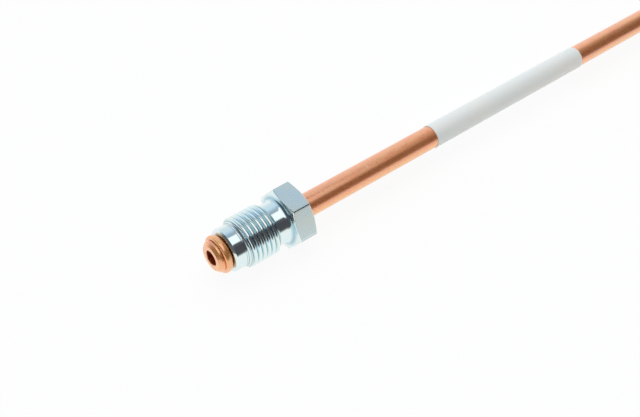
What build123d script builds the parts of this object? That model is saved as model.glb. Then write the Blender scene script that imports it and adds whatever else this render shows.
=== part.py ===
"""Brake line: a straight copper pipe with a formed flare and a loose tube nut at each end,
and a plain film sleeve wrapped round the pipe.

The pipe lies along X with its middle at X = 0. The line rests on the lower flat of each
nut, so Z = 0 is the surface that it lies on. All sizes are in millimetres.
"""
from build123d import *

import math
import os

# Pipe
pipe_length = 550.0
pipe_diameter = 4.75
pipe_wall = 0.89

# Formed flare at each end of the pipe
flare_rise = 1.375
flare_length = 2.72
flare_shoulder_radius = 0.45
flare_back_radius = 1.0
lip_width = 0.915
cone_length = 0.58
band_length = 0.37
band_rise = 0.14
crease_step = 0.06
mouth_chamfer = 0.15

# Tube nut
nut_bore_clearance = 0.075
nut_seat_gap = 0.03
nut_mouth_chamfer = 0.3
nose_diameter = 8.5
nose_length = 2.58
nose_chamfer = 0.25
thread_diameter = 10.0
thread_length = 7.2
shank_diameter = 8.5
shank_length = 2.9
shank_fillet = 1.15
hex_across_flats = 11.0
hex_height = 4.2
hex_chamfer_angle = 30.0

# Film sleeve
sleeve_start = 54.1
sleeve_length = 45.0
sleeve_thickness = 0.11
sleeve_clearance = 0.01

# Places worked out from the sizes above
pipe_radius = pipe_diameter / 2
pipe_bore_radius = pipe_radius - pipe_wall
nut_bore_radius = pipe_radius + nut_bore_clearance
axis_height = hex_across_flats / 2
tip_x = -pipe_length / 2
flare_back_x = tip_x + flare_length
nut_front_x = flare_back_x + nut_seat_gap
thread_start_x = nut_front_x + nose_length
thread_end_x = thread_start_x + thread_length
hex_front_x = thread_end_x + shank_length
nut_back_x = hex_front_x + hex_height

# How much of the step from shank to hexagon the fillet may take
fillet_share = 0.95

# How closely an edge's size or place has to match to be picked
tolerance = 1e-4

pipe_axis = Axis((0, 0, axis_height), (1, 0, 0))
profile_plane = Plane(origin=(0, 0, axis_height), x_dir=(1, 0, 0), z_dir=(0, -1, 0))


def cross_section(x):
    """The plane square to the pipe at x, with its own X axis along world Y."""
    return Plane(origin=(x, 0, axis_height), x_dir=(0, 1, 0), z_dir=(1, 0, 0))


# Pipe with both flares, one piece. Half of its profile is drawn from the front lip to the
# middle of the pipe and mirrored. Behind the flat lip come a cone and a narrow band, which
# ends in a crease, where a round shoulder stands proud. The back of the flare is round too.
# Of the four corners on the rims, the outer two are shoulders and the inner two are backs.
mouth_radius = pipe_bore_radius + mouth_chamfer
lip_radius = mouth_radius + lip_width
flare_radius = pipe_radius + flare_rise
crease_radius = flare_radius - flare_shoulder_radius - crease_step
band_radius = crease_radius - band_rise
band_x = tip_x + cone_length
crease_x = band_x + band_length

with BuildPart() as brake_pipe:
    with BuildSketch(profile_plane) as pipe_profile:
        with BuildLine():
            Polyline(
                (0, pipe_bore_radius),
                (tip_x + mouth_chamfer, pipe_bore_radius),
                (tip_x, mouth_radius),
                (tip_x, lip_radius),
                (band_x, band_radius),
                (crease_x, crease_radius),
                (crease_x, flare_radius),
                (flare_back_x, flare_radius),
                (flare_back_x, pipe_radius),
                (0, pipe_radius),
            )
            mirror(about=Plane.YZ)
        make_face()
        rim_corners = pipe_profile.vertices().group_by(Axis.Y)[-1].sort_by(Axis.X)
        fillet([rim_corners[0], rim_corners[-1]], radius=flare_shoulder_radius)
        back_corners = pipe_profile.vertices().group_by(Axis.Y)[-1].sort_by(Axis.X)
        fillet(back_corners[1:-1], radius=flare_back_radius)
    revolve(axis=pipe_axis)
brake_pipe.part.label = "brake_pipe"

# Front nut. The hexagon is trimmed by a cone at each face, then the turned body is added
# with its nose, threaded length and shank, and the bore goes through everything.
hex_corner_radius = axis_height / math.cos(math.pi / 6)
hex_chamfer_length = (hex_corner_radius - axis_height) * math.tan(math.radians(hex_chamfer_angle))
nose_radius = nose_diameter / 2
thread_radius = thread_diameter / 2
shank_radius = shank_diameter / 2

with BuildPart() as front_nut:
    with BuildSketch(cross_section(hex_front_x)):
        RegularPolygon(radius=axis_height, side_count=6, major_radius=False)
    extrude(amount=hex_height)
    with BuildSketch(profile_plane):
        with BuildLine():
            Polyline(
                (hex_front_x, 0),
                (hex_front_x, axis_height),
                (hex_front_x + hex_chamfer_length, hex_corner_radius),
                (nut_back_x - hex_chamfer_length, hex_corner_radius),
                (nut_back_x, axis_height),
                (nut_back_x, 0),
                close=True,
            )
        make_face()
    revolve(axis=pipe_axis, mode=Mode.INTERSECT)
    with BuildSketch(profile_plane):
        with BuildLine():
            Polyline(
                (nut_front_x, 0),
                (nut_front_x, nose_radius - nose_chamfer),
                (nut_front_x + nose_chamfer, nose_radius),
                (thread_start_x, nose_radius),
                (thread_start_x + thread_radius - nose_radius, thread_radius),
                (thread_end_x - thread_radius + shank_radius, thread_radius),
                (thread_end_x, shank_radius),
                (hex_front_x, shank_radius),
                (hex_front_x, 0),
                close=True,
            )
        make_face()
    revolve(axis=pipe_axis)
    shank_root = front_nut.edges().filter_by(GeomType.CIRCLE).filter_by(
        lambda edge: abs(edge.radius - shank_radius) < tolerance
        and abs(edge.center().X - hex_front_x) < tolerance
    )
    fillet(shank_root, radius=min(shank_fillet, fillet_share * (axis_height - shank_radius)))
    with Locations(cross_section(nut_front_x)):
        Cylinder(
            radius=nut_bore_radius,
            height=nut_back_x - nut_front_x,
            align=(Align.CENTER, Align.CENTER, Align.MIN),
            mode=Mode.SUBTRACT,
        )
    bore_mouths = front_nut.edges().filter_by(GeomType.CIRCLE).filter_by(
        lambda edge: abs(edge.radius - nut_bore_radius) < tolerance
    )
    chamfer(bore_mouths, length=nut_mouth_chamfer)
front_nut.part.label = "front_nut"

# Rear nut, the same nut at the other end and facing the other way.
with BuildPart() as rear_nut:
    mirror(front_nut.part, about=Plane.YZ)
rear_nut.part.label = "rear_nut"

# Film sleeve, wrapped tight round the pipe behind the front nut.
sleeve_inner_radius = pipe_radius + sleeve_clearance
with BuildPart() as film_sleeve:
    with BuildSketch(cross_section(tip_x + sleeve_start)):
        Circle(radius=sleeve_inner_radius + sleeve_thickness)
        Circle(radius=sleeve_inner_radius, mode=Mode.SUBTRACT)
    extrude(amount=sleeve_length)
film_sleeve.part.label = "film_sleeve"

os.makedirs("parts", exist_ok=True)
export_step(brake_pipe.part, "parts/brake_pipe.step")
export_step(front_nut.part, "parts/front_nut.step")
export_step(rear_nut.part, "parts/rear_nut.step")
export_step(film_sleeve.part, "parts/film_sleeve.step")
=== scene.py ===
"""The looks of a straight brake line: a copper pipe with a formed flare at each end, a zinc
plated tube nut behind each flare, and a bare white film sleeve wrapped round the pipe.

The pipe lies along X, and the line rests on the lower flat of each nut, on the floor at
Z = 0. Everything is in metres, and small sizes are written as a number of millimetres
times MM.
"""

import math

import bmesh
import bpy
from bpy.props import FloatProperty, FloatVectorProperty, IntProperty, PointerProperty
from bpy.types import Operator, Panel, PropertyGroup
from mathutils import Matrix, Vector


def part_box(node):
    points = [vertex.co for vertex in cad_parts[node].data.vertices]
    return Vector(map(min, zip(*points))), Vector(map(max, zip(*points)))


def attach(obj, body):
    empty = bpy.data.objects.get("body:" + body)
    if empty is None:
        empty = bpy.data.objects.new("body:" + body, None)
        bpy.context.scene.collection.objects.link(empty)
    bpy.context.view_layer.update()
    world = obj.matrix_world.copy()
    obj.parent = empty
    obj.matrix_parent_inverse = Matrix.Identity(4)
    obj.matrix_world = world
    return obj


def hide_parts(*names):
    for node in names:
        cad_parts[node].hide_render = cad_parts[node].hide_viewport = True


bl_info = {
    "name": "Brake line",
    "version": (1, 0, 0),
    "blender": (4, 5, 0),
    "location": "3D View > Sidebar > Brake line",
    "description": "Builds the pipe, tube nuts and film sleeve of a brake line on its frame",
    "category": "Object",
}

MM = 0.001

# The photograph's width and the camera's focal length, both in pixels
PHOTO_WIDTH = 640
PHOTO_FOCAL_LENGTH = 944.6

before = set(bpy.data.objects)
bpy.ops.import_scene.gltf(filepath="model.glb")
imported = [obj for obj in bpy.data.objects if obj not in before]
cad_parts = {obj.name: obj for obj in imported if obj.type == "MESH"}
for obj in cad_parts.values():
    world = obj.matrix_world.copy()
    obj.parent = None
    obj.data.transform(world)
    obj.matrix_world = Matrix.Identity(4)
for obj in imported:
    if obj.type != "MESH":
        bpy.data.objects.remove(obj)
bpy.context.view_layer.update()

pipe_low, pipe_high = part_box("brake_pipe")
nut_low, nut_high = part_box("front_nut")
sleeve_low, sleeve_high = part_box("film_sleeve")
AXIS_HEIGHT = (nut_low.z + nut_high.z) / 2

# Where the middle of what the camera sees lies along the pipe
VIEW_MIDDLE_X = -0.22


def in_metres(*millimetres):
    """A place or a reach along X, Y and Z, given in millimetres."""
    return tuple(number * MM for number in millimetres)


def size_property(name, description, millimetres):
    """A length that the user may change."""
    return FloatProperty(
        name=name,
        description=description,
        default=millimetres * MM,
        unit="LENGTH",
        precision=5,
    )


def angle_property(name, description, degrees):
    """An angle that the user may change."""
    return FloatProperty(
        name=name,
        description=description,
        default=math.radians(degrees),
        subtype="ANGLE",
    )


def radiance_property(name, description, default):
    """A brightness that the user may change, where 1 is white."""
    return FloatProperty(name=name, description=description, default=default, min=0)


def colour_property(name, description, default):
    """A colour that the user may change."""
    return FloatVectorProperty(
        name=name,
        description=description,
        default=default,
        subtype="COLOR",
        min=0,
        max=1,
    )


class LineSizes(PropertyGroup):
    """Sizes of the pipe and of its flares."""

    pipe_diameter: size_property(
        "Pipe diameter", "Outside diameter of the pipe", 4.75)
    bore_diameter: size_property(
        "Bore diameter", "Inside diameter of the pipe", 2.97)
    flare_length: size_property(
        "Flare length", "From the lip at the tip to the back of the flare", 2.72)
    mouth_chamfer: size_property(
        "Mouth chamfer", "Chamfer round the mouth of the bore", 0.15)
    lip_diameter: size_property(
        "Lip diameter", "Outside of the flat lip round the mouth", 5.1)
    band_diameter: size_property(
        "Band diameter", "Where the cone behind the lip ends and a narrow band begins", 6.2)
    cone_length: size_property(
        "Cone length", "From the lip back to that band", 0.58)
    crease_diameter: size_property(
        "Crease diameter", "Where the band meets the round shoulder in a narrow crease", 6.48)
    crease_depth: size_property(
        "Crease depth", "How far behind the lip the crease lies", 1.08)
    shoulder_radius: size_property(
        "Shoulder radius", "Rounding of the flare's front shoulder", 0.45)
    back_radius: size_property(
        "Back radius", "Rounding of the flare's back", 1.0)
    columns: IntProperty(
        name="Columns",
        description="How many faces go round the pipe",
        default=96,
        min=12,
    )


class NutSizes(PropertyGroup):
    """Sizes of the tube nut, from its front face back."""

    bore_diameter: size_property(
        "Bore diameter", "Hole that the pipe runs through", 4.9)
    nose_diameter: size_property(
        "Nose diameter", "Plain nose in front of the thread, and the shank behind it", 8.5)
    nose_chamfer: size_property(
        "Nose chamfer", "Chamfer round the front face", 0.36)
    nose_length: size_property(
        "Nose length", "From the front face to the start of the thread", 2.58)
    thread_length: size_property(
        "Thread length", "From the end of the nose to the start of the shank", 7.2)
    thread_diameter: size_property(
        "Thread diameter", "Outside diameter of the thread", 10.0)
    thread_pitch: size_property(
        "Thread pitch", "Distance from crest to crest", 1.0)
    thread_depth: size_property(
        "Thread depth", "From the crest to the root", 0.6)
    lead_mark_depth: size_property(
        "Lead mark depth", "Depth of the fine rings rolled into both ends of the thread", 0.07)
    first_crest: size_property(
        "First crest", "From the front face to the first whole crest, at the crest angle", 3.64)
    crest_angle: angle_property(
        "Crest angle", "Where the first crest is measured, round the axis from +Y towards +Z", 111.5)
    hex_height: size_property(
        "Hexagon height", "Length of the hexagon along the axis", 4.2)
    hex_corner_rounding: size_property(
        "Corner rounding", "Radius of the hexagon's six long edges", 0.35)
    shank_fillet: size_property(
        "Shank fillet", "Radius where the shank meets the hexagon", 1.15)


class SleeveSizes(PropertyGroup):
    """Sizes of the film sleeve."""

    film_thickness: size_property(
        "Film thickness", "Thickness of one layer of film", 0.1)
    lap: angle_property(
        "Lap", "Angle over which the film's end lies on its own start", 40)
    seam_angle: angle_property(
        "Seam angle", "Where the film starts, round the axis from +Y towards +Z", -40)


class Finishes(PropertyGroup):
    """Colours of the metals, the film and the floor."""

    copper: colour_property("Copper", "Colour of the drawn pipe", (1.0, 0.36, 0.10))
    zinc: colour_property("Zinc", "Colour of the plated nuts", (0.78, 0.89, 0.89))
    film: colour_property("Film", "Colour of the sleeve", (0.80, 0.82, 0.80))
    floor: colour_property("Floor", "Colour of the table that the line lies on", (0.93, 0.93, 0.93))


class StageSettings(PropertyGroup):
    """The camera, the lamps, the surroundings and the table."""

    camera_place: FloatVectorProperty(
        name="Camera place",
        description="Where the camera stands",
        default=in_metres(-333.3, -80.9, 142.8),
        subtype="TRANSLATION",
        precision=4,
    )
    camera_heading: angle_property(
        "Camera heading", "Direction of view, from +Y towards +X", 46.03)
    camera_dip: angle_property(
        "Camera dip", "How far the camera looks down", 50.39)
    camera_roll: angle_property(
        "Camera roll", "Lean of the camera, its right side up", 9.37)
    focal_share: FloatProperty(
        name="Focal length",
        description="Focal length as a share of the picture's width",
        default=PHOTO_FOCAL_LENGTH / PHOTO_WIDTH,
    )
    softbox_radiance: radiance_property(
        "Softbox brightness", "Brightness of the softbox as metal mirrors it", 1.15)
    fill_radiance: radiance_property(
        "Fill brightness", "Brightness of the overhead lamp that lights what is not metal", 1.2)
    side_radiance: radiance_property(
        "Side brightness", "Brightness of the low lamp on the camera's side", 1.2)
    floor_whitening: FloatProperty(
        name="Floor whitening",
        description="How far the floor is lifted to white where the camera or metal sees it",
        default=0.92,
        min=0,
        max=1,
    )


class Wire:
    """A shader socket that can be used in a Python expression. Each operator on it adds a
    Math node for plain values."""

    def __init__(self, tree, socket):
        self.tree = tree
        self.socket = socket

    def worked_out(self, operation, *values):
        """What one Math node makes of wires and numbers."""
        node = self.tree.nodes.new("ShaderNodeMath")
        node.operation = operation
        for place, value in enumerate(values):
            if isinstance(value, Wire):
                self.tree.links.new(value.socket, node.inputs[place])
            else:
                node.inputs[place].default_value = value
        return Wire(self.tree, node.outputs[0])

    def math(self, operation, *others):
        return self.worked_out(operation, self, *others)

    def __add__(self, other):
        return self.math("ADD", other)

    __radd__ = __add__

    def __sub__(self, other):
        return self.math("SUBTRACT", other)

    def __rsub__(self, other):
        return self.worked_out("SUBTRACT", other, self)

    def __mul__(self, other):
        return self.math("MULTIPLY", other)

    __rmul__ = __mul__

    def __truediv__(self, other):
        return self.math("DIVIDE", other)

    def __rtruediv__(self, other):
        return self.worked_out("DIVIDE", other, self)

    def between(self, low, high):
        """0 at low, 1 at high, held at 0 and 1 outside them. High may be the lesser one."""
        return ((self - low) / (high - low)).math("MAXIMUM", 0.0).math("MINIMUM", 1.0)


class Shader:
    """The node tree of one material or world."""

    def __init__(self, owner):
        owner.use_nodes = True
        self.tree = owner.node_tree
        self.tree.nodes.clear()

    def node(self, kind, settings=None, values=None, output=0):
        """Adds a node, sets its settings and then its sockets, and gives one of its outputs."""
        node = self.tree.nodes.new(kind)
        for name, value in (settings or {}).items():
            if name == "stops":
                self.set_stops(node.color_ramp, value)
            else:
                setattr(node, name, value)
        for name, value in (values or {}).items():
            socket = node.inputs[name]
            if isinstance(value, Wire):
                self.tree.links.new(value.socket, socket)
            else:
                socket.default_value = value
        return Wire(self.tree, node.outputs[output]) if node.outputs else None

    @staticmethod
    def set_stops(ramp, stops):
        while len(ramp.elements) < len(stops):
            ramp.elements.new(1.0)
        for element, (place, colour) in zip(ramp.elements, stops):
            element.position = place
            element.color = (*colour, 1.0)

    def mix(self, factor, first, second):
        """A colour between two colours."""
        values = {0: factor, 6: colour_value(first), 7: colour_value(second)}
        return self.node("ShaderNodeMix", {"data_type": "RGBA"}, values, output=2)

    def layered(self, tone, layers):
        """A colour with others laid over it in order, each given with its own mask."""
        for mask, colour in layers:
            tone = self.mix(mask, tone, colour)
        return tone

    def place(self):
        """The point on the surface, in metres from the frame's origin."""
        return self.node("ShaderNodeTexCoord", output="Object")

    def coordinate(self, vector, axis):
        """One number of a vector, by its axis X, Y or Z."""
        return self.node("ShaderNodeSeparateXYZ", None, {"Vector": vector}, output=axis)

    def noise(self, place, grain, detail=2.0, roughness=0.5):
        """Noise from 0 to 1. grain says how fine it is along X, Y and Z, in grains a metre."""
        stretched = self.node("ShaderNodeMapping", None, {"Vector": place, "Scale": grain})
        values = {"Vector": stretched, "Scale": 1.0, "Detail": detail, "Roughness": roughness}
        return self.node("ShaderNodeTexNoise", None, values)

    def rings(self, place, grain, detail, roughness):
        """Noise that changes only along the pipe, for fine rings round it."""
        along = self.coordinate(place, "X") * grain
        values = {"W": along, "Scale": 1.0, "Detail": detail, "Roughness": roughness}
        return self.node("ShaderNodeTexNoise", {"noise_dimensions": "1D"}, values)

    def nearness(self, place, spot, reach):
        """1 at a spot, falling to 0 at the given reach from it along X, Y and Z."""
        offset = self.node("ShaderNodeVectorMath", {"operation": "SUBTRACT"}, {0: place, 1: spot})
        offset = self.node("ShaderNodeVectorMath", {"operation": "DIVIDE"}, {0: offset, 1: reach})
        length = self.node("ShaderNodeVectorMath", {"operation": "LENGTH"}, {0: offset}, output=1)
        return 1.0 - length.math("MINIMUM", 1.0)

    def mark(self, name):
        """A value that the mesh carries at each point, such as 1 inside the bore."""
        return self.node("ShaderNodeAttribute", {"attribute_name": name}, None, output="Fac")

    def ray(self, kind):
        """1 for rays of one kind, such as Is Camera Ray, and 0 for the others."""
        return self.node("ShaderNodeLightPath", output=kind)

    def seen(self):
        """1 for what the camera sees, straight, in metal or through glass."""
        straight = self.ray("Is Camera Ray")
        mirrored = self.ray("Is Glossy Ray")
        through = self.ray("Is Transmission Ray")
        return straight.math("MAXIMUM", mirrored).math("MAXIMUM", through)

    def bump(self, height, distance, strength):
        """A normal for a surface on which a height of 1 stands proud by the distance."""
        values = {"Height": height, "Distance": distance, "Strength": strength}
        return self.node("ShaderNodeBump", None, values)


def colour_value(colour):
    """A colour as a socket takes it: a Wire as it is, and three numbers with alpha added."""
    return colour if isinstance(colour, Wire) else (*colour, 1.0)


def tinted(colour, shares):
    """A colour with its red, green and blue each scaled."""
    return tuple(channel * share for channel, share in zip(colour, shares))


def surface(name):
    """A new material and the shader that builds it."""
    material = bpy.data.materials.new(name)
    return material, Shader(material)


def finish_surface(shader, values):
    """Closes a material with one Principled shader."""
    body = shader.node("ShaderNodeBsdfPrincipled", None, values)
    shader.node("ShaderNodeOutputMaterial", None, {"Surface": body})


def copper_surface(colour):
    """Drawn copper: fine rings, draw lines and scratches, with blotches, rosy patches, specks, one
    bright nick and one dark one. Painted reflections make the top pinker and the underside more golden,
    and the rosy patches are stronger on top. The bright nick's glint is painted as a lighter colour. The
    flares are straw-coloured, with a painted reddish shade in the crease and over the flare's back, and
    the bore is painted a dark red for the shade inside it."""
    material, shader = surface("drawn_copper")
    place = shader.place()
    flare = shader.mark("flare")
    bore = shader.mark("bore")
    hollow = shader.mark("hollow")
    height = shader.coordinate(place, "Z") - AXIS_HEIGHT
    # Painted reflection: the top of the pipe is tinted pinker, and the rosy patches are stronger there
    painted_top = height.between(1.9 * MM, 2.2 * MM)
    # Painted reflection: the underside is tinted more golden, as it mirrors the table below
    lower = height.between(1.0 * MM, 0.4 * MM)
    streaks = shader.noise(place, (120, 3000, 3000), detail=4.0, roughness=0.6)
    specks = shader.noise(place, (1800, 3000, 3000))
    blotches = shader.noise(place, (260, 700, 700), detail=4.0, roughness=0.6)
    patches = shader.noise(place, (480, 900, 900))
    scratches = shader.noise(place, (500, 2600, 2600), detail=1.0).between(0.66, 0.72)
    rings = shader.rings(place, 5000.0, detail=1.0, roughness=0.5)
    # The bright nick is a real scratch, and its glint is painted in as a lighter colour
    bright_nick = shader.nearness(
        place, spot=in_metres(-238.7, -0.42, 7.84), reach=in_metres(0.22, 0.55, 0.55))
    dark_nick = shader.nearness(
        place, spot=in_metres(-234.7, -2.35, 5.83), reach=in_metres(0.75, 0.4, 0.18))
    orange = tinted(colour, (1.00, 0.88, 0.86))
    pink = tinted(colour, (1.00, 1.12, 1.30))
    golden = tinted(colour, (1.00, 1.24, 0.66))
    straw = tinted(colour, (1.00, 1.22, 0.80))
    rosy = tinted(colour, (1.00, 0.82, 0.95))
    wear_and_glint = tinted(colour, (1.00, 1.80, 4.50))
    deep = tinted(colour, (0.80, 0.58, 0.48))
    # Painted shade: the crease and the flare's back are darkened to a reddish tone
    red = tinted(colour, (0.45, 0.26, 0.20))
    # Painted shade: the inside of the bore is darkened to a deep red
    inside = tinted(colour, (0.42, 0.16, 0.12))
    tone = shader.layered(orange, (
        (blotches.between(0.36, 0.64) * 0.35 + painted_top * (1.0 - flare) * 0.65, pink),
        (streaks.between(0.5, 0.8) * 0.35, deep),
        (lower * 0.85, golden),
        (flare * (blotches.between(0.42, 0.54) * 0.5 + 0.5), straw),
        (patches.between(0.50, 0.64) * (painted_top * 0.4 + 0.3), rosy),
        (specks.between(0.58, 0.72) * 0.6 + dark_nick * 0.4, deep),
        (bright_nick * 0.9, wear_and_glint),
        (hollow * 0.85, red),
        (bore, inside),
    ))
    relief = streaks * 0.5 + specks * 0.35 - scratches * 0.5
    relief = relief + rings * (1.0 - flare) * 1.2 - dark_nick * 3.0
    finish_surface(shader, {
        "Base Color": tone,
        "Metallic": 0.76,
        "Coat Weight": 1.0,
        "Coat IOR": 2.45,
        "Coat Roughness": 0.20,
        "Roughness": 0.31 + streaks * 0.08 + blotches * 0.06 + bore * 0.2,
        "Normal": shader.bump(relief, 0.006 * MM, strength=0.6),
    })
    return material


def zinc_surface(colour):
    """Bright zinc plate: feed rings on what was turned, a fine drawn grain on the hexagon's flats, a
    bluer painted shade down in the thread and on the fillet, and a darker painted shade on the hexagon's
    long edges, round the mouths of the bore and in the lead marks."""
    material, shader = surface("zinc_plate")
    place = shader.place()
    drawn = shader.mark("drawn")
    depth = shader.mark("groove")
    shade = shader.mark("shade")
    rings = shader.rings(place, 9000.0, detail=2.0, roughness=0.6)
    grain = shader.noise(place, (2600, 5200, 5200), detail=3.0, roughness=0.65)
    clouds = shader.noise(place, (380, 380, 380), detail=3.0)
    cool = tinted(colour, (0.96, 1.0, 1.04))
    warm = tinted(colour, (1.02, 1.0, 0.96))
    # Painted shade, bluer, in the thread's roots, the lead marks and the fillet
    valley_shade = tinted(colour, (0.45, 0.62, 0.74))
    # Painted shade on the hexagon's long edges, round the bore's mouths and in the lead marks
    painted_shade = tinted(colour, (0.42, 0.44, 0.47))
    tone = shader.layered(cool, (
        (clouds.between(0.35, 0.65), warm),
        (depth.between(0.1, 1.0), valley_shade),
        (shade, painted_shade),
    ))
    relief = rings * (1.0 - drawn) * 0.5 + grain * drawn * 0.8
    finish_surface(shader, {
        "Base Color": tone,
        "Metallic": 1.0,
        "Roughness": 0.10 + drawn * 0.12 + clouds * 0.04 + grain * drawn * 0.06,
        "Normal": shader.bump(relief, 0.006 * MM, strength=0.6),
    })
    return material


def film_surface(colour):
    """Satin white film with faint cool and warm clouds, soft ripples and fine pores."""
    material, shader = surface("white_film")
    place = shader.place()
    clouds = shader.noise(place, (90, 260, 260), detail=3.0)
    pores = shader.noise(place, (2500, 2500, 2500))
    ripples = shader.noise(place, (300, 160, 160), detail=1.0)
    cool = tinted(colour, (0.96, 1.0, 1.01))
    warm = tinted(colour, (1.02, 1.0, 0.98))
    finish_surface(shader, {
        "Base Color": shader.mix(clouds.between(0.35, 0.65), cool, warm),
        "Specular IOR Level": 0.8,
        "Roughness": 0.28 + clouds * 0.10,
        "Normal": shader.bump(ripples + pores * 0.15, 0.02 * MM, strength=0.5),
    })
    return material


def floor_surface(colour, whitening):
    """A matt pale table. Seen by the camera or in metal it is lifted part of the way to
    white, and keeps the rest of its shade."""
    material, shader = surface("pale_table")
    matt = shader.node("ShaderNodeBsdfDiffuse", None, {"Color": colour_value(colour)})
    lit = shader.node("ShaderNodeEmission", None, {"Color": (1.0, 1.0, 1.0, 1.0), "Strength": 1.0})
    mixed = shader.node("ShaderNodeMixShader", None, {0: shader.seen() * whitening, 1: matt, 2: lit})
    shader.node("ShaderNodeOutputMaterial", None, {"Surface": mixed})
    return material


def round_corners(corners):
    """A closed profile as points, with each corner turned into an arc.

    A corner is its distance along the axis, its distance from the axis and its rounding.
    """
    nearly_straight = math.radians(179)
    arc_step = math.radians(12)
    points = []
    for index, (along, out, rounding) in enumerate(corners):
        here = Vector((along, out))
        before = Vector(corners[index - 1][:2])
        after = Vector(corners[(index + 1) % len(corners)][:2])
        to_before = (before - here).normalized()
        to_after = (after - here).normalized()
        corner_angle = to_before.angle(to_after)
        if rounding <= 0 or corner_angle > nearly_straight:
            points.append(here)
            continue
        setback = rounding / math.tan(corner_angle / 2)
        to_centre = (to_before + to_after).normalized()
        centre = here + to_centre * (rounding / math.sin(corner_angle / 2))
        start = here + to_before * setback - centre
        turn = start.angle_signed(here + to_after * setback - centre)
        steps = max(2, math.ceil(abs(turn) / arc_step))
        for step in range(steps + 1):
            spin = Matrix.Rotation(-turn * step / steps, 2)
            points.append(centre + spin @ start)
    return points


def divide_runs(points, longest):
    """The same closed profile, with extra points on its long straight stretches."""
    spaced = []
    for index, point in enumerate(points):
        after = points[(index + 1) % len(points)]
        pieces = max(1, math.ceil((after - point).length / longest))
        spaced.extend(point.lerp(after, piece / pieces) for piece in range(pieces))
    return spaced


def skin(name, rings, marks, closed=True):
    """A mesh of quads through rings of points. marks holds, for each named value, one value
    for every point of every ring. The last ring joins the first one if closed, and else both
    are filled."""
    mesh = bpy.data.meshes.new(name)
    shape = bmesh.new()
    layers = {mark: shape.verts.layers.float.new(mark) for mark in marks}
    grid = []
    for ring_index, ring in enumerate(rings):
        row = []
        for column, point in enumerate(ring):
            corner = shape.verts.new(point)
            for mark, layer in layers.items():
                corner[layer] = marks[mark][ring_index][column]
            row.append(corner)
        grid.append(row)
    count = len(rings[0])
    for ring_index in range(len(rings) if closed else len(rings) - 1):
        row, following = grid[ring_index], grid[(ring_index + 1) % len(grid)]
        for column in range(count):
            beside = (column + 1) % count
            shape.faces.new((row[column], row[beside], following[beside], following[column]))
    if not closed:
        close_ends(shape, (grid[0], grid[-1]))
    bmesh.ops.remove_doubles(shape, verts=shape.verts, dist=0.0001 * MM)
    bmesh.ops.recalc_face_normals(shape, faces=shape.faces)
    shape.to_mesh(mesh)
    shape.free()
    piece = bpy.data.objects.new(name, mesh)
    bpy.context.scene.collection.objects.link(piece)
    return piece


def close_ends(shape, rows):
    """Quads across the end rings of a strip, each of which runs out and back again."""
    for row in rows:
        for column in range(len(row) // 2 - 1):
            opposite = len(row) - 1 - column
            shape.faces.new((row[column], row[column + 1], row[opposite - 1], row[opposite]))


def smooth(piece, sharpest):
    """Smooth shading, with edges kept sharp where the surface turns by more than the angle."""
    piece.data.shade_smooth()
    piece.data.set_sharp_from_angle(angle=sharpest)
    weighted = piece.modifiers.new("even_normals", "WEIGHTED_NORMAL")
    weighted.keep_sharp = True
    weighted.weight = 80


def around_axis(along, out, angle):
    """The point at a place along X, a distance from the pipe's axis and an angle round it."""
    return Vector((along, out * math.cos(angle), AXIS_HEIGHT + out * math.sin(angle)))


def flare_corners(sizes):
    """One end of the pipe, from its bore over the lip and the flare to its outside: a flat
    lip, a short cone, a narrow band that dips into a crease, and a round shoulder and back."""
    bore = sizes.bore_diameter / 2
    mouth = sizes.mouth_chamfer
    lip = sizes.lip_diameter / 2
    band = sizes.band_diameter / 2
    crease = sizes.crease_diameter / 2
    band_end = sizes.crease_depth - 0.17 * MM
    groove_bottom = sizes.crease_depth - 0.07 * MM
    shoulder = sizes.crease_depth + 0.02 * MM
    outside = pipe_high.y
    back = sizes.flare_length
    crisp = 0.03 * MM
    eased = 0.10 * MM
    return [
        (mouth, bore, crisp),
        (0.0, bore + mouth, 0.06 * MM),
        (0.0, lip, eased),
        (sizes.cone_length, band, eased),
        (band_end, crease - 0.07 * MM, crisp),
        (groove_bottom, crease - 0.24 * MM, crisp),
        (shoulder, crease - 0.04 * MM, 0.0),
        (shoulder, outside, sizes.shoulder_radius),
        (back, outside, sizes.back_radius),
        (back, sizes.pipe_diameter / 2, 0.12 * MM),
    ]


def pipe_hollow_shade(sizes, behind_lip, out, angle):
    """How much painted shade darkens the copper, from 0 to 1: in the crease, deepest near the top of the
    pipe, and faintly over the round back of the flare."""
    if behind_lip > sizes.crease_depth + sizes.shoulder_radius / 2:
        back_start = sizes.flare_length - sizes.back_radius
        back_end = sizes.flare_length + 0.2 * MM
        faint = 0.1
        on_back = (behind_lip - back_start) / sizes.back_radius
        return min(faint, max(0.0, on_back)) if behind_lip < back_end else 0.0
    band_share = (behind_lip - sizes.cone_length) / (sizes.crease_depth - sizes.cone_length)
    if not 0.0 < band_share < 1.1:
        return 0.0
    band_rise = (sizes.crease_diameter - sizes.band_diameter) / 2
    band_out = sizes.band_diameter / 2 + band_rise * band_share
    full_depth = 0.06 * MM
    in_crease = min(1.0, max(0.0, (band_out - out) / full_depth))
    near_top = max(0.0, math.cos(angle - math.radians(80)))
    return in_crease * (0.15 + 0.85 * near_top)


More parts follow.
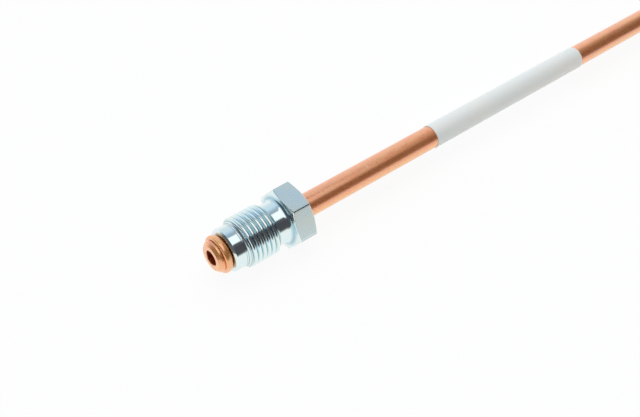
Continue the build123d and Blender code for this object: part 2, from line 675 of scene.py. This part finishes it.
def build_pipe(sizes, finishes):
    """The pipe with both flares and the bore right through, as one closed skin."""
    corners = flare_corners(sizes)
    front = [(pipe_low.x + along, out, rounding) for along, out, rounding in corners]
    rear = [(pipe_high.x - along, out, rounding) for along, out, rounding in reversed(corners)]
    profile = divide_runs(round_corners(front + rear), longest=6 * MM)
    angles = [math.tau * column / sizes.columns for column in range(sizes.columns)]
    rings = [[around_axis(point.x, point.y, angle) for angle in angles] for point in profile]
    bore_edge = sizes.bore_diameter / 2 + 0.02 * MM
    marks = {"bore": [], "flare": [], "hollow": []}
    for point in profile:
        behind_lip = pipe_high.x - abs(point.x)
        in_bore = float(point.y < bore_edge)
        on_flare = float(behind_lip < sizes.flare_length)
        marks["bore"].append([in_bore] * sizes.columns)
        marks["flare"].append([on_flare] * sizes.columns)
        marks["hollow"].append([pipe_hollow_shade(sizes, behind_lip, point.y, angle) for angle in angles])
    pipe = skin("copper_pipe", rings, marks)
    smooth(pipe, sharpest=math.radians(40))
    pipe.data.materials.append(copper_surface(tuple(finishes.copper)))
    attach(pipe, "line")
    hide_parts("brake_pipe")


def hex_columns(flat_radius, rounding):
    """The points of a hexagon with rounded corners and flats facing up and down, each as
    its angle round the axis, its distance from it and 1 on a flat, falling to 0 on a corner."""
    half_turn = math.pi / 6
    centre_radius = (flat_radius - rounding) / math.cos(half_turn)
    corner_steps = 4
    flat_steps = 16
    columns = []

    def corner_point(corner, share):
        """A point on one rounded corner, from -1 where it begins to 1 where it ends."""
        corner_angle = math.tau * corner / 6
        normal_angle = corner_angle + half_turn * share
        centre = Vector((math.cos(corner_angle), math.sin(corner_angle))) * centre_radius
        return centre + Vector((math.cos(normal_angle), math.sin(normal_angle))) * rounding

    for corner in range(6):
        for step in range(-corner_steps, corner_steps + 1):
            on_flat = max(0, abs(step) - 1) / (corner_steps - 1)
            columns.append((corner_point(corner, step / corner_steps), on_flat))
        start, end = corner_point(corner, 1), corner_point(corner + 1, -1)
        columns.extend((start.lerp(end, step / flat_steps), 1.0) for step in range(1, flat_steps))
    return [(math.atan2(point.y, point.x), point.length, on_flat) for point, on_flat in columns]


def thread_groove(sizes, along, angle):
    """How deep the thread's groove is at a place on the nut, from 0 on a crest to 1 at a root.
    The rolled crests are broad and nearly flat, and the roots are narrow."""
    turns = (along - sizes.first_crest) / sizes.thread_pitch - (angle - sizes.crest_angle) / math.tau
    from_crest = abs(turns - round(turns)) * 2
    crest_share = 0.42
    crest_fall = 0.30
    flank = max(0.0, from_crest - crest_share) / (1.0 - crest_share)
    return crest_fall * from_crest ** 2 + (1.0 - crest_fall) * flank ** 1.6


def lead_mark(along, places):
    """How deep the nearest fine ring is at a place on the nut, from 0 beside it to 1 in it."""
    reach = 0.08 * MM
    return max(max(0.0, 1.0 - abs(along - place) / reach) for place in places)


class NutSkin:
    """The nut as closed rings, from the front mouth of its bore over the outside and back through the
    bore, with the marks that its surface needs: drawn on the hexagon's flats, groove for a bluer painted
    shade, most of all down in the thread, and shade for a darker painted shade."""

    bore_chamfer = 0.3 * MM
    edge_rounding = 0.05 * MM
    face_inset = 0.06 * MM
    face_chamfer_slope = math.tan(math.radians(20))

    def __init__(self, sizes):
        self.sizes = sizes
        self.bore = sizes.bore_diameter / 2
        self.nose = sizes.nose_diameter / 2
        self.total = nut_high.x - nut_low.x
        self.hex_front = self.total - sizes.hex_height
        self.thread_end = sizes.nose_length + sizes.thread_length
        flat = AXIS_HEIGHT - nut_low.z
        self.face_edge = flat - self.face_inset
        self.columns = hex_columns(flat, sizes.hex_corner_rounding)
        self.rings = []
        self.marks = {"drawn": [], "groove": [], "shade": []}
        self.add_nose()
        self.add_thread()
        self.add_shank()
        self.add_hexagon()
        self.add_back()

    def add_ring(self, points, on_hexagon=False, groove_shades=None, painted_shade=0.0):
        """One ring. Each of its points is a distance behind the front face, a distance
        from the axis and an angle round it."""
        ring = [around_axis(nut_low.x + along, out, angle) for along, out, angle in points]
        self.rings.append(ring)
        flats = [on_flat for _, _, on_flat in self.columns]
        self.marks["drawn"].append([on_flat if on_hexagon else 0.0 for on_flat in flats])
        # Painted shade on the hexagon's rounded long edges, elsewhere as given
        self.marks["shade"].append([1.0 - on_flat if on_hexagon else painted_shade for on_flat in flats])
        self.marks["groove"].append(groove_shades or [0.0] * len(flats))

    def add_round(self, along, out, depth=0.0, painted_shade=0.0):
        """One circular ring, the same all round."""
        points = [(along, out, angle) for angle, _, _ in self.columns]
        self.add_ring(points, groove_shades=[depth] * len(points), painted_shade=painted_shade)

    def add_profile(self, corners):
        """Circular rings along part of the profile, without its first and last corners, with some
        painted shade round the mouths of the bore."""
        for point in round_corners(corners)[1:-1]:
            in_mouth = point.y < self.bore + 2 * self.bore_chamfer
            self.add_round(point.x, point.y, painted_shade=0.5 if in_mouth else 0.0)

    def add_nose(self):
        """The front mouth of the bore, the front face and the nose behind it."""
        chamfer = self.sizes.nose_chamfer
        self.add_profile([
            (self.bore_chamfer * 2, self.bore, 0),
            (self.bore_chamfer, self.bore, self.edge_rounding),
            (0.0, self.bore + self.bore_chamfer, self.edge_rounding),
            (0.0, self.nose - chamfer, 0.04 * MM),
            (chamfer, self.nose, 0.08 * MM),
            (self.sizes.nose_length, self.nose, 0),
        ])

    def add_thread(self):
        """The thread's helix, cut into a blank that slopes down to the nose and the shank,
        with lead marks at both ends."""
        sizes = self.sizes
        crest = sizes.thread_diameter / 2
        lead_marks = [sizes.nose_length + place * MM for place in (-0.28, 0.06, 0.42)]
        lead_marks += [self.thread_end - place * MM for place in (0.42, 0.12)]
        first_row = sizes.nose_length - 0.4 * MM
        last_row = self.thread_end + 0.1 * MM
        rows_a_turn = 28
        rows = math.ceil((last_row - first_row) / sizes.thread_pitch * rows_a_turn)
        for row in range(rows + 1):
            along = first_row + (last_row - first_row) * row / rows
            rise = max(0.0, min(along - sizes.nose_length, self.thread_end - along))
            blank = min(crest, self.nose + rise)
            mark = lead_mark(along, lead_marks)
            # The uncut slopes of the blank get a little of the same painted shade
            uncut_tint = 0.2 if self.nose < blank < crest else 0.0
            points, groove_shades = [], []
            for angle, _, _ in self.columns:
                depth = thread_groove(sizes, along, angle)
                cut = crest - sizes.thread_depth * depth
                points.append((along, min(blank, cut) - sizes.lead_mark_depth * mark, angle))
                groove_shades.append(max(mark, 0.62 * depth if cut < blank else uncut_tint))
            self.add_ring(points, groove_shades=groove_shades, painted_shade=0.6 * mark)

    def add_shank(self):
        """The fillet from the shank up to the hexagon, with painted shade in it, bluest a little past
        its middle.
        """
        fillet = self.sizes.shank_fillet
        steps = 12
        bluest, fading = 7, 5
        for step in range(steps + 1):
            turn = math.pi / 2 * step / steps
            along = self.hex_front - fillet + fillet * math.sin(turn)
            out = self.nose + fillet - fillet * math.cos(turn)
            self.add_round(along, out, depth=max(0.0, 1.0 - abs(step - bluest) / fading))

    def add_hex_face(self, face, inward):
        """The rings of one hexagon face, from its flat over the chamfer to the six sides."""
        slope = self.face_chamfer_slope
        soft = self.edge_rounding
        self.add_round(face, self.face_edge - soft)
        self.add_round(face + inward * soft * 0.3, self.face_edge + soft)
        edge = []
        for angle, out, _ in self.columns:
            edge.append((face + inward * (out - self.face_edge) * slope, out, angle))
        self.add_ring([(along - inward * soft * slope, out - soft, angle) for along, out, angle in edge])
        for inset in (soft, soft * 2):
            side = [(along + inward * inset, out, angle) for along, out, angle in edge]
            self.add_ring(side, on_hexagon=True)

    def add_hexagon(self):
        """Both faces and the six sides between them. The rings of the back face are made from
        its middle outwards, as those of the front one are, and then put in reverse."""
        self.add_hex_face(self.hex_front, 1)
        side_rows = 6
        for row in range(1, side_rows):
            points = []
            for angle, out, _ in self.columns:
                inset = (out - self.face_edge) * self.face_chamfer_slope + self.edge_rounding
                side_length = self.sizes.hex_height - 2 * inset
                points.append((self.hex_front + inset + side_length * (row / side_rows), out, angle))
            self.add_ring(points, on_hexagon=True)
        first_back_ring = len(self.rings)
        self.add_hex_face(self.total, -1)
        for rows in (self.rings, *self.marks.values()):
            rows[first_back_ring:] = reversed(rows[first_back_ring:])

    def add_back(self):
        """The plain back face and the rear mouth of the bore."""
        self.add_profile([
            (self.total, self.face_edge - self.edge_rounding, 0),
            (self.total, self.bore + self.bore_chamfer, self.edge_rounding),
            (self.total - self.bore_chamfer, self.bore, self.edge_rounding),
            (self.total - self.bore_chamfer * 2, self.bore, 0),
        ])


def build_nut(name, sizes, material, body, node, turn):
    """One tube nut. A half turn about the vertical makes the rear one, so that both threads
    stay right-handed."""
    outline = NutSkin(sizes)
    rings = [[turn @ point for point in ring] for ring in outline.rings]
    nut = skin(name, rings, outline.marks)
    smooth(nut, sharpest=math.radians(50))
    nut.data.materials.append(material)
    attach(nut, body)
    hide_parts(node)


def film_layer(sizes, inner):
    """The underside of the film as angles round the pipe and distances from its axis. Its end
    climbs smoothly onto its own start."""
    climb = math.radians(14)
    full = math.tau + sizes.lap
    air = 0.006 * MM
    lift = sizes.film_thickness + air
    steps = 108
    layer = []
    for step in range(steps + 1):
        angle = full * step / steps
        share = min(1.0, max(0.0, (angle - (math.tau - climb)) / climb))
        rise = share * share * (3 - 2 * share)
        layer.append((sizes.seam_angle + angle, inner + lift * rise))
    return layer


def build_sleeve(sizes, pipe_diameter, finishes):
    """A strip of film wrapped once round the pipe, with its end lapped over its start."""
    clearance = 0.01 * MM
    end_rounding = 0.03 * MM
    layer = film_layer(sizes, pipe_diameter / 2 + clearance)
    length = sleeve_high.x - sleeve_low.x
    rows = 46
    near_end = (0.0, 0.04 * MM, 0.3 * MM)
    stations = [*near_end]
    stations += [length * row / rows for row in range(1, rows)]
    stations += [length - station for station in reversed(near_end)]
    rings = []
    for index, station in enumerate(stations):
        at_end = index in (0, len(stations) - 1)
        top = sizes.film_thickness - (end_rounding if at_end else 0.0)
        along = sleeve_low.x + station
        outer = [around_axis(along, out + top, angle) for angle, out in layer]
        under = [around_axis(along, out, angle) for angle, out in reversed(layer)]
        rings.append(outer + under)
    sleeve = skin("film_wrap", rings, {}, closed=False)
    smooth(sleeve, sharpest=math.radians(40))
    sleeve.data.materials.append(film_surface(tuple(finishes.film)))
    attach(sleeve, "line")
    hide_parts("film_sleeve")


def build_camera(settings):
    """The camera at the photograph's place and angle."""
    lens = bpy.data.cameras.new("camera")
    lens.sensor_width = 36.0
    lens.lens = lens.sensor_width * settings.focal_share
    lens.clip_start = 1 * MM
    camera = bpy.data.objects.new("camera", lens)
    look_down = math.pi / 2 - settings.camera_dip
    turn = Matrix.Rotation(-settings.camera_heading, 4, "Z") @ Matrix.Rotation(look_down, 4, "X")
    roll = Matrix.Rotation(settings.camera_roll, 4, "Z")
    camera.matrix_world = Matrix.Translation(settings.camera_place) @ turn @ roll
    bpy.context.scene.collection.objects.link(camera)
    bpy.context.scene.camera = camera


def build_lamp(name, place, size, radiance, colour):
    """One broad lamp that points at the middle of the view. Metal doesn't mirror it, and
    mirrors the softbox in the surroundings instead."""
    watts_for_white = 4
    aim_at = Vector((VIEW_MIDDLE_X, 0.0, AXIS_HEIGHT))
    light = bpy.data.lights.new(name, "AREA")
    light.shape = "RECTANGLE"
    light.size, light.size_y = size
    light.energy = radiance * watts_for_white * light.size * light.size_y
    light.color = colour
    lamp = bpy.data.objects.new(name, light)
    turn = (aim_at - Vector(place)).to_track_quat("-Z", "Y").to_matrix().to_4x4()
    lamp.matrix_world = Matrix.Translation(place) @ turn
    lamp.visible_glossy = False
    bpy.context.scene.collection.objects.link(lamp)


def build_lamps(settings):
    """A neutral lamp overhead and behind the line, and a warm low one on the camera's side."""
    neutral = (1.0, 1.0, 1.0)
    warm = (1.0, 0.93, 0.84)
    overhead_place = (VIEW_MIDDLE_X, 0.4, 1.2)
    side_place = (VIEW_MIDDLE_X, -1.1, 0.25)
    build_lamp("overhead", overhead_place, (2.0, 0.8), settings.fill_radiance, neutral)
    build_lamp("side", side_place, (1.6, 0.4), settings.side_radiance, warm)


def build_surroundings(settings):
    """White to the eye. Metal sees a long softbox overhead, a pale blue wall behind the line,
    a dark room on the camera's side, greyer walls beyond the far end and a dark one beyond
    the front end."""
    world = bpy.data.worlds.new("studio")
    bpy.context.scene.world = world
    shader = Shader(world)
    direction = shader.node("ShaderNodeTexCoord", output="Generated")
    along = shader.coordinate(direction, "X")
    across = shader.coordinate(direction, "Y")
    up = shader.coordinate(direction, "Z")

    # From 0, level and behind the line, over 0.5, straight up, to 1 on the camera's side
    turn = up.math("ARCTAN2", across) / math.pi
    wall_stops = [
        (0.00, (0.85, 0.89, 0.93)),
        (0.12, (0.74, 0.83, 0.92)),
        (0.20, (0.70, 0.82, 0.95)),
        (0.27, (0.58, 0.71, 0.86)),
        (0.33, (0.41, 0.50, 0.60)),
        (0.40, (0.36, 0.42, 0.50)),
        (0.60, (0.30, 0.31, 0.34)),
        (0.66, (0.11, 0.11, 0.13)),
        (0.75, (0.075, 0.068, 0.085)),
        (0.95, (0.08, 0.078, 0.085)),
        (1.00, (0.55, 0.55, 0.54)),
    ]
    far_stops = [
        (0.00, (0.95, 0.94, 0.92)),
        (0.28, (0.90, 0.89, 0.87)),
        (0.36, (0.58, 0.58, 0.58)),
        (0.46, (0.22, 0.22, 0.23)),
        (0.57, (0.09, 0.09, 0.10)),
        (0.67, (0.08, 0.07, 0.08)),
        (0.93, (0.10, 0.10, 0.10)),
        (1.00, (0.60, 0.60, 0.59)),
    ]
    white = (1.0, 1.0, 1.0)
    dark = (0.12, 0.12, 0.13)
    walls = shader.node("ShaderNodeValToRGB", {"stops": wall_stops}, {"Fac": turn})
    far_walls = shader.node("ShaderNodeValToRGB", {"stops": far_stops}, {"Fac": turn})
    toward_far_end = along.between(0.465, 0.53)
    toward_front_end = along.between(-0.50, -0.75)

    # The softbox widens towards the front end
    widening = along.between(0.25, -0.35)
    back_edge = (turn + widening * 0.08).between(0.405, 0.430)
    near_edge = (turn - widening * 0.06).between(0.650, 0.625)
    front_edge = along.between(-0.65, -0.45)
    far_edge = along.between(0.55, 0.43)
    softbox = back_edge * near_edge * front_edge * far_edge
    below = up.math("LESS_THAN", 0.0)
    plain = shader.ray("Is Camera Ray").math("MAXIMUM", below)
    colour = shader.layered(walls, (
        (toward_far_end, far_walls),
        (toward_front_end, dark),
        (softbox, white),
        (plain, white),
    ))
    strength = 1.0 + softbox * (1.0 - plain) * (settings.softbox_radiance - 1.0)
    background = shader.node("ShaderNodeBackground", None, {"Color": colour, "Strength": strength})
    shader.node("ShaderNodeOutputWorld", None, {"Surface": background})


def build_floor(settings, finishes):
    """The table top, wide enough to reach the horizon in a reflection."""
    half_width = 4.0
    gap_under_line = 0.01 * MM
    shape = bmesh.new()
    bmesh.ops.create_grid(shape, x_segments=1, y_segments=1, size=half_width)
    mesh = bpy.data.meshes.new("table_top")
    shape.to_mesh(mesh)
    shape.free()
    floor = bpy.data.objects.new("table_top", mesh)
    floor.location.z = -gap_under_line
    floor.data.materials.append(floor_surface(tuple(finishes.floor), settings.floor_whitening))
    bpy.context.scene.collection.objects.link(floor)


class BRAKELINE_OT_pipe(Operator):
    """Build the copper pipe with its two flares"""

    bl_idname = "brakeline.pipe"
    bl_label = "Build pipe"

    def execute(self, context):
        build_pipe(context.scene.brakeline_pipe, context.scene.brakeline_finishes)
        return {"FINISHED"}


class BRAKELINE_OT_nuts(Operator):
    """Build the front and the rear tube nut"""

    bl_idname = "brakeline.nuts"
    bl_label = "Build nuts"

    def execute(self, context):
        sizes = context.scene.brakeline_nut
        material = zinc_surface(tuple(context.scene.brakeline_finishes.zinc))
        half_turn = Matrix.Rotation(math.pi, 4, "Z")
        build_nut("tube_nut_front", sizes, material, "front_nut", "front_nut", Matrix.Identity(4))
        build_nut("tube_nut_rear", sizes, material, "rear_nut", "rear_nut", half_turn)
        return {"FINISHED"}


class BRAKELINE_OT_sleeve(Operator):
    """Build the film sleeve"""

    bl_idname = "brakeline.sleeve"
    bl_label = "Build sleeve"

    def execute(self, context):
        scene = context.scene
        pipe_diameter = scene.brakeline_pipe.pipe_diameter
        build_sleeve(scene.brakeline_sleeve, pipe_diameter, scene.brakeline_finishes)
        return {"FINISHED"}


class BRAKELINE_OT_stage(Operator):
    """Set up the camera, the light and the table"""

    bl_idname = "brakeline.stage"
    bl_label = "Build stage"

    def execute(self, context):
        settings = context.scene.brakeline_stage
        build_camera(settings)
        build_lamps(settings)
        build_surroundings(settings)
        build_floor(settings, context.scene.brakeline_finishes)
        context.scene.view_settings.view_transform = "Standard"
        return {"FINISHED"}


class BRAKELINE_PT_panel(Panel):
    """The operators and the sizes and colours they use"""

    bl_label = "Brake line"
    bl_idname = "BRAKELINE_PT_panel"
    bl_space_type = "VIEW_3D"
    bl_region_type = "UI"
    bl_category = "Brake line"

    def draw(self, context):
        for operator, group in STEPS:
            box = self.layout.box()
            box.operator(operator)
            self.list_settings(box, getattr(context.scene, group))
        self.list_settings(self.layout.box(), context.scene.brakeline_finishes)

    @staticmethod
    def list_settings(box, settings):
        for name in settings.bl_rna.properties.keys():
            if name not in ("rna_type", "name"):
                box.prop(settings, name)


STEPS = (
    ("brakeline.pipe", "brakeline_pipe"),
    ("brakeline.nuts", "brakeline_nut"),
    ("brakeline.sleeve", "brakeline_sleeve"),
    ("brakeline.stage", "brakeline_stage"),
)
GROUPS = {
    "brakeline_pipe": LineSizes,
    "brakeline_nut": NutSizes,
    "brakeline_sleeve": SleeveSizes,
    "brakeline_finishes": Finishes,
    "brakeline_stage": StageSettings,
}
CLASSES = (
    *GROUPS.values(),
    BRAKELINE_OT_pipe,
    BRAKELINE_OT_nuts,
    BRAKELINE_OT_sleeve,
    BRAKELINE_OT_stage,
    BRAKELINE_PT_panel,
)


def register():
    for item in CLASSES:
        bpy.utils.register_class(item)
    for name, group in GROUPS.items():
        setattr(bpy.types.Scene, name, PointerProperty(type=group))


def unregister():
    for name in GROUPS:
        delattr(bpy.types.Scene, name)
    for item in reversed(CLASSES):
        bpy.utils.unregister_class(item)


def main():
    register()
    bpy.ops.brakeline.pipe()
    bpy.ops.brakeline.nuts()
    bpy.ops.brakeline.sleeve()
    bpy.ops.brakeline.stage()
    bpy.context.view_layer.update()


if __name__ == "__main__":
    main()
